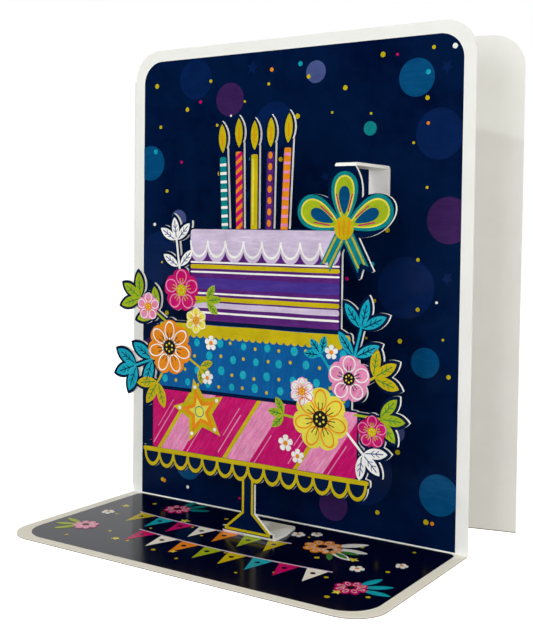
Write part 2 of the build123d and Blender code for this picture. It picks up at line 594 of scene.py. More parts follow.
@dataclass
class PrintingPlate:
    """The unit outlines, each modelled once and copied for every mark."""

    facets: int = 32
    leaf_facets: int = 44
    leaf_radius: float = 0.625
    leaf_rise: float = 0.25
    petal_facets: int = 28
    petal_root: float = 0.3
    petal_power: float = 0.8
    bar_columns: int = 6
    stroke_columns: int = 26
    stroke_crowding: float = 2.4
    stroke_ease: float = 0.02
    stroke_tip: float = 0.25
    stroke_waves: float = 8.0
    stroke_sway: float = 0.06
    stroke_phases: Span = (1.0, 2.6)
    star_waist: float = 0.46
    tail_notch: float = 0.2
    units: dict[Shape, bpy.types.Mesh] = field(default_factory=dict)

    def unit(self, shape: Shape) -> bpy.types.Mesh:
        """Gives an outline's mesh, modelled at first use.

        Args:
            shape: Which outline.

        Returns:
            A closed slab one unit thick.
        """
        if shape not in self.units:
            pick()
            if shape in ROUND:
                self.draw_round(*ROUND[shape])
            else:
                getattr(self, "draw_" + shape.value)()
            self.thicken()
            piece = bpy.context.view_layer.objects.active
            self.units[shape] = piece.data
            bpy.data.objects.remove(piece)
        return self.units[shape]

    def thicken(self) -> None:
        """Extrudes the flat outline by one unit and turns its faces outwards."""
        set_mode("EDIT")
        select_mesh()
        bpy.ops.mesh.extrude_region_move(TRANSFORM_OT_translate={"value": (0.0, 0.0, 1.0)})
        select_mesh()
        bpy.ops.mesh.normals_make_consistent(inside=False)
        set_mode("OBJECT")

    def disc(self, vertices: int, radius: float = 0.5, middle: Point = ORIGIN) -> None:
        """Adds a filled circle and leaves it in edit mode."""
        shape = {"vertices": vertices, "radius": radius, "location": middle}
        bpy.ops.mesh.primitive_circle_add(**shape, fill_type="NGON", enter_editmode=True)

    def halve(self, upper: bool) -> None:
        """Keeps the half of the outline above or below the middle line."""
        select_mesh()
        bpy.ops.mesh.bisect(plane_co=ORIGIN, plane_no=ALONG_Y, clear_inner=upper, clear_outer=not upper)

    def grid(self, columns: int, rows: int = 1) -> bpy.types.MeshVertices:
        """Adds a square one unit wide, of columns and rows, and gives its points."""
        bpy.ops.mesh.primitive_grid_add(x_subdivisions=columns, y_subdivisions=rows, size=1.0)
        return bpy.context.object.data.vertices

    def fit(self, low: Span = (0.0, -0.5), high: Span = (1.0, 0.5)) -> None:
        """Stretches the active outline to a box, in object mode.

        Args:
            low: The box's lower left corner.
            high: Its upper right corner.
        """
        set_mode("OBJECT")
        points = bpy.context.view_layer.objects.active.data.vertices
        for axis in (0, 1):
            values = [v.co[axis] for v in points]
            least, most = min(values), max(values)
            for v in points:
                v.co[axis] = low[axis] + (v.co[axis] - least) / (most - least) * (high[axis] - low[axis])

    def draw_round(self, rim: float, hung: bool) -> None:
        """Disc or ring about its middle, or the half of one that hangs from its straight edge.

        Args:
            rim: Width of the ring that stays, 0 for a full disc.
            hung: Whether it is the hanging half.
        """
        self.disc(self.facets)
        if rim:
            bpy.ops.mesh.inset(thickness=rim, depth=0.0)
            bpy.ops.mesh.delete(type="FACE")
        if hung:
            self.halve(upper=False)
            self.fit((-0.5, -1.0), (0.5, 0.0))

    def draw_leaf(self) -> None:
        """Pointed leaf of two equal arcs, from its root along +X."""
        self.disc(self.leaf_facets, self.leaf_radius, (0.5, self.leaf_rise - self.leaf_radius, 0.0))
        self.halve(upper=True)
        set_mode("OBJECT")
        bpy.ops.object.transform_apply(location=True, rotation=False, scale=False)
        bpy.ops.object.modifier_add(type="MIRROR")
        mirror = bpy.context.object.modifiers[-1]
        mirror.use_axis = (False, True, False)
        bpy.ops.object.modifier_apply(modifier=mirror.name)
        self.fit()

    def draw_petal(self) -> None:
        """Drop shape, narrow at its root and round at its end, along +X."""
        self.disc(self.petal_facets)
        set_mode("OBJECT")
        for v in bpy.context.object.data.vertices:
            v.co.y *= self.petal_root + (1.0 - self.petal_root) * (v.co.x + 0.5) ** self.petal_power
        self.fit()

    def draw_bar(self) -> None:
        """Straight bar from its root along +X."""
        self.grid(self.bar_columns)
        self.fit()

    def draw_tail(self) -> None:
        """Ribbon's end from its root along +X, with a notch cut into it."""
        for v in self.grid(1, 2):
            if v.co.x > 0.0 and abs(v.co.y) < 0.25:
                v.co.x -= self.tail_notch
        self.fit()

    def draw_stroke(self) -> None:
        """Brush stroke with eased ends and a slightly uneven width, along +X."""
        upper, lower = self.stroke_phases
        for v in self.grid(self.stroke_columns):
            left = max(0.0, 1.0 - abs(v.co.x * 2.0))
            along = math.copysign(1.0 - left**self.stroke_crowding, v.co.x)
            past = max(0.0, abs(along) - 1.0 + self.stroke_ease) / self.stroke_ease
            ease = self.stroke_tip + (1.0 - self.stroke_tip) * math.sqrt(max(0.0, 1.0 - past**2))
            sway = math.sin(self.stroke_waves * along + (upper if v.co.y > 0 else lower))
            v.co.x = along / 2.0
            v.co.y *= ease * (1.0 - self.stroke_sway + self.stroke_sway * sway)
        self.fit()

    def draw_star(self) -> None:
        """Five-pointed star about its middle."""
        self.disc(10)
        set_mode("OBJECT")
        for v in list(bpy.context.object.data.vertices)[1::2]:
            v.co *= self.star_waist

    def draw_pennant(self) -> None:
        """Pennant that hangs from its straight edge."""
        self.disc(3)
        self.fit((-0.5, 0.0), (0.5, -1.0))


def join_card(piece: Piece, ink: Ink, slot: Slot) -> None:
    """Inks a piece and lets it ride on the card.

    Args:
        piece: The piece.
        ink: Its colour.
        slot: The record's slot of the sheet under it; not used.
    """
    piece.data.materials.clear()
    piece.data.materials.append(ink.material())
    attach(piece, "root")
    log.info("%s: %d faces", piece.name, len(piece.data.polygons))


@dataclass
class PrintedFace:
    """A flat side of a sheet that takes ink, with the transform from millimetres on it to the frame."""

    name: str
    to_world: Matrix
    slot: Slot
    plate: PrintingPlate
    corner_segments: int = 14

    def press(self, name: str, marks: Marks, ink: Ink, layer: Layer, inside: Box | None = None) -> None:
        """Prints marks as one mesh of thin closed slabs, each a hair above the one before.

        Args:
            name: The piece's name after the face's own.
            marks: What is printed.
            ink: Its colour.
            layer: Its place in the order of inks.
            inside: Box at whose edges the marks are cut off.
        """
        copies = []
        for index, mark in enumerate(marks):
            copy = bpy.data.objects.new(f"{self.name}_{name}", self.plate.unit(mark.shape).copy())
            rise = FILM * (layer.value + MARK_RISE * index / len(marks))
            copy.matrix_world = self.to_world @ mark.matrix(rise)
            bpy.context.collection.objects.link(copy)
            copies.append(copy)
        pick(*copies)
        if len(copies) > 1:
            bpy.ops.object.join()
        self.settle(copies[-1], name, ink)
        if inside is not None:
            self.trim(copies[-1], inside)

    def settle(self, piece: Piece, name: str, ink: Ink) -> None:
        """Puts the active piece's place into its mesh, names it and joins it to the card.

        Args:
            piece: The piece.
            name: Its name after the face's own.
            ink: Its colour.
        """
        bpy.ops.object.transform_apply(location=True, rotation=True, scale=True)
        piece.name = f"{self.name}_{name}"
        piece.data.name = f"{self.name}_{name}"
        join_card(piece, ink, self.slot)

    def panel(self, name: str, box: Box, ink: Ink, layer: Layer, top: float, foot: float = 0.0) -> None:
        """Prints a rectangle with rounded corners.

        Args:
            name: The piece's name after the face's own.
            box: Left, low, right and high edge.
            ink: Its colour.
            layer: Its place in the order of inks.
            top: Radius of the upper corners.
            foot: Radius of the lower corners.
        """
        left, low, right, high = box
        middle = (low + high) / 2
        pick()
        bpy.ops.mesh.primitive_plane_add(size=1.0)
        piece = bpy.context.object
        for v in piece.data.vertices:
            v.co.x = left if v.co.x < 0 else right
            v.co.y = low if v.co.y < 0 else high
        for radius, upper in ((top, True), (foot, False)):
            if radius <= 0.0:
                continue
            for part in (*piece.data.polygons, *piece.data.edges):
                part.select = False
            for v in piece.data.vertices:
                v.select = (v.co.y > middle) == upper
            set_mode("EDIT")
            bpy.ops.mesh.select_mode(type="VERT")
            bpy.ops.mesh.bevel(offset=radius, segments=self.corner_segments, affect="VERTICES")
            set_mode("OBJECT")
        set_mode("EDIT")
        bpy.ops.mesh.select_mode(type="FACE")
        self.plate.thicken()
        sunk = Matrix.Translation((0.0, 0.0, -SINK))
        thick = Matrix.Diagonal((1.0, 1.0, FILM * layer.value + SINK, 1.0))
        piece.matrix_world = self.to_world @ sunk @ thick
        self.settle(piece, name, ink)

    def trim(self, piece: Piece, box: Box) -> None:
        """Cuts a piece off at the edges of a box on the face.

        Args:
            piece: What is cut.
            box: Left, low, right and high edge.
        """
        left, low, right, high = box
        pick(piece)
        set_mode("EDIT")
        turn = self.to_world.to_3x3()
        cuts = ((left, low, -1, 0), (left, low, 0, -1), (right, high, 1, 0), (right, high, 0, 1))
        for x, y, across, up in cuts:
            select_mesh()
            bpy.ops.mesh.bisect(
                plane_co=self.to_world @ Vector((x, y, 0.0)),
                plane_no=(turn @ Vector((across, up, 0.0))).normalized(),
                use_fill=True,
                clear_outer=True,
                threshold=TRIM_TOLERANCE,
            )
        set_mode("OBJECT")

    def small_blossoms(self, places: tuple[Triple, ...]) -> None:
        """Prints small white blossoms with orange eyes.

        Args:
            places: Each one's middle across and up, and its radius.
        """
        petals = [m for x, y, r in places for m in flower(x, y, r, SMALL_PETALS, SMALL_PETAL_WIDTH)]
        self.press("small_petals", petals, Ink.WHITE, Layer.PETAL)
        self.press("small_eyes", [dot(x, y, r * SMALL_EYE) for x, y, r in places], Ink.ORANGE, Layer.OUTLINE)


@dataclass
class WallPrint:
    """Night-blue field on the upright wall, with circles, stars and confetti."""

    face: PrintedFace
    area: Box = (-70.5, 0.9, 70.5, 180.5)
    corner: float = 9.0
    room: Triple = (3.0, 3.0, 4.0)  # left free at the sides, below and above
    circles: tuple[tuple[Ink, tuple[Triple, ...]], ...] = (  # middle and radius of each
        (Ink.DUSK, ((-6, 152, 9), (50, 92, 11), (-61, 100, 11), (34, 24, 12), (-44, 172, 8), (62, 146, 9))),
        (Ink.PLUM, ((-27, 163, 6.6), (66, 116, 8.2), (-65, 62, 5.0), (22, 10, 6.0))),
        (Ink.OCEAN, ((-67, 139, 7.2), (53, 166, 6.8), (58, 66, 5.4), (-46, 16, 6.4), (64, 20, 7.4))),
        (Ink.SLATE, ((12, 171, 4.2), (-52, 116, 3.8), (47, 40, 3.6))),
        (Ink.TEAL, ((35, 149, 2.6), (-62, 33, 3.0))),
    )
    stars: Scatter = Scatter(5, 13, 4.0, 6.5, Shape.STAR)
    confetti: tuple[tuple[Ink, Scatter], ...] = (
        (Ink.GOLD, Scatter(3, 58, 0.9, 2.0)),
        (Ink.WHITE, Scatter(11, 11, 0.8, 2.0)),
        (Ink.TURQUOISE, Scatter(23, 9, 1.2, 2.4)),
        (Ink.MAGENTA, Scatter(31, 8, 1.0, 1.9)),
        (Ink.ORANGE, Scatter(47, 7, 1.0, 1.8)),
    )

    def build(self) -> None:
        """Prints the field and all that lies on it."""
        self.face.panel("field", self.area, Ink.NAVY, Layer.GROUND, self.corner)
        for ink, places in self.circles:
            marks = [dot(x, z, 2 * radius) for x, z, radius in places]
            layer = Layer.FIELD if ink is Ink.DUSK else Layer.LINE
            self.face.press("circles_" + ink.label, marks, ink, layer, self.area)
        self.face.press("stars", self.stars.marks(self.area, *self.room), Ink.DUSK, Layer.BAND)
        for ink, strewn in self.confetti:
            marks = strewn.marks(self.area, *self.room)
            self.face.press("confetti_" + ink.label, marks, ink, Layer.SPRIG)


@dataclass(frozen=True)
class Posy:
    """A blossom on the base: its middle, radius, inks and the direction of its leaves."""

    x: float
    y: float
    radius: float
    ink: Ink
    leaf_ink: Ink
    turn: float


@dataclass
class BasePrint:
    """Dark field on the base, with two strings of pennants, blossoms and confetti."""

    face: PrintedFace
    area: Box = (-70.8, -32.8, 71.3, 35.8)
    front_corner: float = 11.5
    back_corner: float = 3.0
    room: Triple = (6.0, 6.0, 5.0)  # left free at the sides, below and above
    # Each string's left end, x of its right end, sag and number of pennants.
    strings: tuple[tuple[float, float, float, float, int], ...] = (
        (-52.0, 13.5, 18.0, 2.5, 7),
        (-37.0, -4.5, 45.0, 2.5, 8),
    )
    cord_width: float = 0.6
    pennant: Span = (7.8, 12.5)
    spot: float = 1.9
    spot_share: float = 0.33
    cycle: tuple[Ink, ...] = (Ink.GOLD, Ink.TURQUOISE, Ink.MAGENTA, Ink.WHITE, Ink.ORANGE, Ink.LIME)
    cycle_shift: int = 2
    posies: tuple[Posy, ...] = (
        Posy(29.0, 16.5, 7.0, Ink.ORANGE, Ink.WHITE, 12.0),
        Posy(33.0, 15.0, 4.5, Ink.ORANGE, Ink.GREEN, -24.0),
        Posy(57.0, -14.0, 5.6, Ink.MAGENTA, Ink.TURQUOISE, 40.0),
        Posy(-42.0, 24.5, 5.4, Ink.MAGENTA, Ink.TEAL, 62.0),
        Posy(-57.0, -12.0, 5.0, Ink.PINK, Ink.LIME, 205.0),
    )
    posy_petals: int = 8
    posy_leaf_turns: Triple = (-38.0, -4.0, 30.0)
    small_blossoms: tuple[Triple, ...] = (  # middle and radius of each
        (14.5, 24.0, 2.6), (20.0, 28.0, 2.2), (-62.0, 6.0, 2.6), (50.0, 3.0, 2.6), (61.0, 14.0, 2.2)
    )
    confetti: Scatter = Scatter(71, 26, 1.0, 2.0)
    stars: Scatter = Scatter(83, 7, 3.0, 4.6, Shape.STAR)

    def build(self) -> None:
        """Prints the field and all that lies on it."""
        self.face.panel("field", self.area, Ink.MIDNIGHT, Layer.GROUND, self.back_corner, self.front_corner)
        self.hang_pennants()
        for index, posy in enumerate(self.posies, start=1):
            self.plant(index, posy)
        self.face.small_blossoms(self.small_blossoms)
        confetti = self.confetti.marks(self.area, *self.room)
        self.face.press("confetti_gold", confetti, Ink.GOLD, Layer.FIELD)
        self.face.press("stars_lemon", self.stars.marks(self.area, *self.room), Ink.LEMON, Layer.FIELD)

    def hang_pennants(self) -> None:
        """Prints the strings, the pennants that hang from them and a spot on each pennant."""
        flags: dict[Ink, Marks] = {ink: [] for ink in self.cycle}
        cords = []
        for number, (x, y, reach, sag, count) in enumerate(self.strings):
            step = (reach - x) / count
            points = [(x + step * k, y - sag * (1 - (2 * k / count - 1) ** 2)) for k in range(count + 1)]
            for k, (start, end) in enumerate(zip(points, points[1:])):
                turn = math.degrees(math.atan2(end[1] - start[1], end[0] - start[0]))
                cords.append(Mark(Shape.BAR, *start, math.dist(start, end), self.cord_width, turn))
                middle = ((start[0] + end[0]) / 2, (start[1] + end[1]) / 2)
                ink = self.cycle[(k + number * self.cycle_shift) % len(self.cycle)]
                flags[ink].append(Mark(Shape.PENNANT, *middle, *self.pennant, turn))
        spots = []
        for ink, marks in flags.items():
            self.face.press("pennants_" + ink.label, marks, ink, Layer.BAND)
            away = self.pennant[1] * self.spot_share
            spots += [dot(*polar(m.x, m.y, m.turn - UP, away), self.spot) for m in marks]
        self.face.press("pennant_spots", spots, Ink.MIDNIGHT, Layer.LINE)
        self.face.press("cords", cords, Ink.LILAC, Layer.LINE)

    def plant(self, index: int, posy: Posy) -> None:
        """Prints one blossom with the leaves beside it.

        Args:
            index: Number in the pieces' names.
            posy: The blossom.
        """
        x, y, r = posy.x, posy.y, posy.radius
        sizes = {"away": r * 0.7, "length": r * 1.7, "width": r * 0.5}
        leaves = [spoke(Shape.LEAF, x, y, posy.turn + turn, **sizes) for turn in self.posy_leaf_turns]
        rings = wheel(Shape.RING, x, y, self.posy_petals, away=r * 0.62, length=r * 0.5, width=r * 0.28)
        self.face.press(f"posy_leaves_{index}", leaves, posy.leaf_ink, Layer.SPRIG)
        petals = flower(x, y, r, self.posy_petals, share=0.52)
        self.face.press(f"posy_petals_{index}", petals, posy.ink, Layer.PETAL)
        self.face.press(f"posy_lines_{index}", rings, Ink.WHITE, Layer.OUTLINE)
        self.face.press(f"posy_eye_{index}", [dot(x, y, r * 0.5)], Ink.BLACK, Layer.EYE)


@dataclass
class CakePrint:
    """Print on the cake of the pop-up sheet: three tiers, a scalloped tray and the stand."""

    face: PrintedFace
    axis: float = 1.0
    corner: float = 0.8
    tray_width: float = 98.0
    scallop_count: int = 14
    scallop_pitch: float = 6.857
    line_width: float = 0.9
    flare: Span = (7.6, 6.6)
    foot_width: float = 19.8
    bottom: Box = (-43.3, 28.2, 45.3, 50.8)
    stripe_starts: Triple = (-43.4, -12.9, 17.6)
    stripe_lean: float = 56.0
    stripe_run: float = 40.0
    # Each dry line's shift from a stripe's start, distance from the foot, length and width.
    dry_lines: tuple[Quad, ...] = ((-4.0, 8.0, 18.0, 0.45), (-6.2, 16.0, 13.0, 0.3), (13.2, 4.0, 15.0, 0.35))
    middle: Box = (-40.3, 52.2, 42.3, 76.7)
    dot_pitch: Span = (10.4, 5.0)
    top: Box = (-25.8, 78.2, 37.8, 104.5)
    stripes: tuple[tuple[Ink, tuple[Span, ...]], ...] = (
        (Ink.WHITE, ((81.2, 0.8), (88.3, 0.7), (96.2, 0.7), (99.8, 0.7))),
        (Ink.LILAC, ((83.9, 2.2),)),
        (Ink.GOLD, ((86.3, 1.7), (98.2, 1.6))),
        (Ink.VIOLET, ((92.0, 4.2),)),
    )
    icing: Box = (-25.9, 103.6, 37.9, 112.0)

    def build(self) -> None:
        """Prints the stand and the tiers from the bottom up."""
        self.print_stand()
        self.print_bottom_tier()
        self.print_middle_tier()
        self.print_top_tier()

    def print_stand(self) -> None:
        """Prints the tray's edge with its scallops, and the outline of the column and foot."""
        pitch, width = self.scallop_pitch, self.line_width
        start = self.axis - pitch * (self.scallop_count - 1) / 2
        tray = [Mark(Shape.STROKE, self.axis - self.tray_width / 2, 27.25, self.tray_width, height=1.75)]
        for k in range(self.scallop_count):
            tray.append(Mark(Shape.ARC, start + pitch * k, y=26.5, width=pitch + 0.8, height=5.8))
        self.face.press("tray", tray, Ink.GOLD, Layer.BAND)
        run, slope = math.hypot(*self.flare), math.degrees(math.atan2(*self.flare))
        lines = []
        for side in (-1, 1):
            x = self.axis + side * 2.0
            lines.append(Mark(Shape.BAR, x, y=9.2, width=12.2, height=width, turn=UP))
            lines.append(Mark(Shape.BAR, x, y=9.4, width=run, height=width, turn=side * slope - UP))
        lines.append(Mark(Shape.BAR, self.axis - self.foot_width / 2, 2.6, self.foot_width, width))
        self.face.press("stand_outline", lines, Ink.GOLD, Layer.BAND)

    def print_bottom_tier(self) -> None:
        """Prints slanted stripes, cut off at the tier's edges."""
        self.face.panel("bottom_tier", self.bottom, Ink.MAGENTA, Layer.FIELD, self.corner, self.corner)
        low, run, lean = self.bottom[1] - 5.0, self.stripe_run, self.stripe_lean
        wide = [Mark(Shape.BAR, x + 6.0, low, run, height=8.6, turn=lean) for x in self.stripe_starts]
        thin = [Mark(Shape.BAR, x, low, run, height=1.5, turn=lean) for x in self.stripe_starts]
        dry = []
        for x in self.stripe_starts:
            dry += [spoke(Shape.STROKE, x + shift, low, lean, *sizes) for shift, *sizes in self.dry_lines]
        self.face.press("bottom_stripes_pink", wide, Ink.PINK, Layer.BAND, self.bottom)
        self.face.press("bottom_stripes_gold", thin, Ink.GOLD, Layer.LINE, self.bottom)
        self.face.press("bottom_dry_lines", dry, Ink.PINK, Layer.BAND, self.bottom)

    def print_middle_tier(self) -> None:
        """Prints dots in offset rows under a scalloped trim."""
        left, low, right, high = self.middle
        self.face.panel("middle_tier", self.middle, Ink.BLUE, Layer.FIELD, self.corner, self.corner)
        shake = random.Random(19).uniform
        pitch, rise = self.dot_pitch
        large, small = [], []
        for line in range(4):
            for k in range(8):
                x = left + 2.5 + pitch * (k + line % 2 / 2) + shake(-0.7, 0.7)
                z = low + 2.6 + rise * line + shake(-0.5, 0.5)
                size = shake(2.3, 2.9)
                large.append(Mark(Shape.DOT, x, z, size, size * 1.15))
                x += pitch / 2 + shake(-0.8, 0.8)
                small.append(Mark(Shape.DOT, x, z + shake(-1.3, 1.3), width=1.2, height=1.3))
        inside = (left + 0.5, low + 0.4, right - 0.5, high - 3.7)
        self.face.press("middle_dots_turquoise", large, Ink.TURQUOISE, Layer.BAND, inside)
        self.face.press("middle_dots_gold", small, Ink.GOLD, Layer.BAND, inside)
        trim = [Mark(Shape.STROKE, left, high - 1.9, right - left, height=3.8)]
        trim += row(Shape.SCALLOP, left, right, count=28, y=high - 3.5, lap=1.05, height=1.7)
        self.face.press("middle_trim", trim, Ink.GOLD, Layer.LINE)

    def print_top_tier(self) -> None:
        """Prints level stripes under scalloped icing."""
        self.face.panel("top_tier", self.top, Ink.PURPLE, Layer.FIELD, 0.0, self.corner)
        left, _, right, _ = self.top
        for ink, places in self.stripes:
            marks = [Mark(Shape.STROKE, left, z, right - left, height) for z, height in places]
            self.face.press("top_stripes_" + ink.label, marks, ink, Layer.BAND)
        self.face.panel("icing", self.icing, Ink.LILAC, Layer.BAND, top=1.3)
        left, low, right, _ = self.icing
        drops = row(Shape.SCALLOP, left, right, count=8, y=low + 1.2, lap=0.99, height=4.9)
        self.face.press("icing_drops", drops, Ink.LILAC, Layer.LINE)
        wave = row(Shape.THREAD, left, right, count=8, y=low + 4.2, lap=1.05, height=6.3)
        self.face.press("icing_wave", wave, Ink.WHITE, Layer.SPRIG)


@dataclass(frozen=True)
class Candle:
    """A candle: its height over the lowest one, lean in degrees to the left, inks and pattern."""

    step: float
    lean: float
    ink: Ink
    band_ink: Ink
    pattern: Pattern


@dataclass
class CandlePrint:
    """Print on the five candles and their flames."""

    face: PrintedFace
    root: float = 109.5
    foot: float = 112.2
    body_top: float = 138.3
    flame_low: float = 139.9
    first_x: float = -10.1
    pitch: float = 6.3
    width: float = 2.8
    corner: float = 0.6
    flame: Span = (10.4, 3.2)
    heart: Triple = (2.4, 4.6, 0.45)  # gap below it, length and width
    candles: tuple[Candle, ...] = (
        Candle(0.0, 2.6, Ink.TEAL, Ink.WHITE, Pattern.RINGS),
        Candle(1.8, 1.0, Ink.MAGENTA, Ink.ORANGE, Pattern.TWIST),
        Candle(0.6, 0.2, Ink.GOLD, Ink.LEMON, Pattern.GLEAM),
        Candle(1.4, -0.8, Ink.PURPLE, Ink.ORANGE, Pattern.DOTS),
        Candle(2.6, -2.4, Ink.ORANGE, Ink.PINK, Pattern.RINGS),
    )

    def build(self) -> None:
        """Prints each candle in its own colours and at its own lean, then all the flames."""
        flames, hearts = [], []
        heart_gap, heart_run, heart_width = self.heart
        for index, candle in enumerate(self.candles):
            x = self.first_x + self.pitch * index
            side = self.leaning_face(x, candle.lean)
            box = (x - self.width / 2, self.foot, x + self.width / 2, self.body_top + candle.step)
            bands = self.bands(candle.pattern, box)
            side.panel(f"candle_{index + 1}", box, candle.ink, Layer.FIELD, self.corner)
            side.press(f"candle_bands_{index + 1}", bands, candle.band_ink, Layer.BAND, box)
            angle, reach = UP + candle.lean, self.flame_low + candle.step - self.root
            flames.append(spoke(Shape.LEAF, x, self.root, angle, reach, *self.flame))
            hearts.append(spoke(Shape.STROKE, x, self.root, angle, reach + heart_gap, heart_run, heart_width))
        self.face.press("flames", flames, Ink.GOLD, Layer.LINE)
        self.face.press("flame_hearts", hearts, Ink.ORANGE, Layer.SPRIG)

    def leaning_face(self, x: float, lean: float) -> PrintedFace:
        """Gives the printed face turned about one candle's root.

        Args:
            x: The candle's place along the cake.
            lean: Its lean in degrees, positive to the left.

        Returns:
            A face on which the candle stands straight.
        """
        about = Matrix.Translation((x, self.root, 0.0))
        turn = about @ Matrix.Rotation(math.radians(lean), 4, "Z") @ about.inverted()
        return replace(self.face, to_world=self.face.to_world @ turn)

    def bands(self, pattern: Pattern, box: Box) -> Marks:
        """Gives one candle's pattern.

        Args:
            pattern: Which one.
            box: The candle's body.

        Returns:
            Level bands, slanted bands, one long light or dots.
        """
        left, low, right, high = box
        middle = (left + right) / 2
        if pattern is Pattern.RINGS:
            heights = [low + 1.6 + 3.1 * k for k in range(9)]
            return [Mark(Shape.BAR, left - 0.5, z, self.width + 1.0, 1.0) for z in heights if z < high - 0.8]
        if pattern is Pattern.TWIST:
            heights = [low - 1.0 + 3.4 * k for k in range(9)]
            return [Mark(Shape.BAR, left - 1.0, z, 8.0, 1.2, turn=38.0) for z in heights]
        if pattern is Pattern.GLEAM:
            return [Mark(Shape.STROKE, middle - 0.5, low + 1.5, high - low - 3.0, 0.7, UP)]
        heights = [low + 2.2 + 4.0 * k for k in range(7)]
        return [Mark(Shape.DOT, middle, z, 1.7, 2.5) for z in heights if z < high - 1.2]


@dataclass
class BowPrint:
    """Print on the gift bow: ribbon loops with their inner sides, notched tails and knot."""

    face: PrintedFace
    x: float = 39.3
    z: float = 113.0
    # Each loop's direction in degrees, length and width.
    loops: tuple[Triple, ...] = ((24.0, 18.6, 11.6), (156.0, 18.6, 11.6), (90.0, 18.2, 10.2))
    ribbons: tuple[tuple[float, Ink, Layer], ...] = (  # how far each lies inside the loops' edge
        (0.0, Ink.TEAL, Layer.OUTLINE),
        (1.3, Ink.LEMON, Layer.EYE),
        (1.9, Ink.LIME, Layer.SPARK),
    )
    tail_turns: Span = (-62.0, -118.0)
    tail: Triple = (3.0, 12.8, 4.6)  # distance from the knot's middle, length and width

    def build(self) -> None:
        """Prints the bow from its tails up to its knot."""
        x, z, press = self.x, self.z, self.face.press
        away, length, width = self.tail
        tails, lines = [], []
        for turn in self.tail_turns:
            tails.append(spoke(Shape.TAIL, x, z, turn, away, length, width))
            for side in (-1.3, 1.3):
                root = polar(*polar(x, z, turn, away + 1.0), turn + UP, side)
                lines.append(Mark(Shape.STROKE, *root, length - 2.2, 0.7, turn))
        press("bow_tails", tails, Ink.TEAL, Layer.VEIN)
        press("bow_tail_lines", lines, Ink.GOLD, Layer.PETAL)
        for index, (inset, ink, layer) in enumerate(self.ribbons, start=1):
            sizes = [(turn, 1.0 + inset, run - 2 * inset, wide - 2 * inset) for turn, run, wide in self.loops]
            press(f"bow_loops_{index}", [spoke(Shape.PETAL, x, z, *size) for size in sizes], ink, layer)
        inner, creases = [], []
        for turn, _, _ in self.loops:
            inner.append(spoke(Shape.PETAL, x, z, turn, away=4.6, length=9.6, width=4.2))
            for side in (-15.0, 15.0):
                creases.append(spoke(Shape.STROKE, x, z, turn + side, away=5.6, length=6.4, width=0.5))
        press("bow_inner_sides", inner, Ink.OCEAN, Layer.FOLD)
        press("bow_creases", creases, Ink.MAGENTA, Layer.FOLD)
        press("bow_knot", [Mark(Shape.DOT, x, z, width=7.4, height=8.2)], Ink.GOLD, Layer.KNOT)
        sides = (-1.5, 0.0, 1.5)
        lines = [Mark(Shape.STROKE, x + side, z - 2.6, 5.2, 0.6, UP - 4.0 * side) for side in sides]
        press("bow_knot_lines", lines, Ink.ORANGE, Layer.CREASE)


@dataclass(frozen=True)
class Sprig:
    """A leafy sprig: its root, direction in degrees, stem's length, cut leaves' size and inks."""

    x: float
    z: float
    turn: float
    stem: float
    length: float
    width: float
    ink: Ink
    vein_ink: Ink


@dataclass(frozen=True)
class Blossom:
    """A blossom: its middle, cut radius, number of petals and inks."""

    x: float
    z: float
    radius: float
    petals: int
    ink: Ink
    line_ink: Ink
    eye_ink: Ink


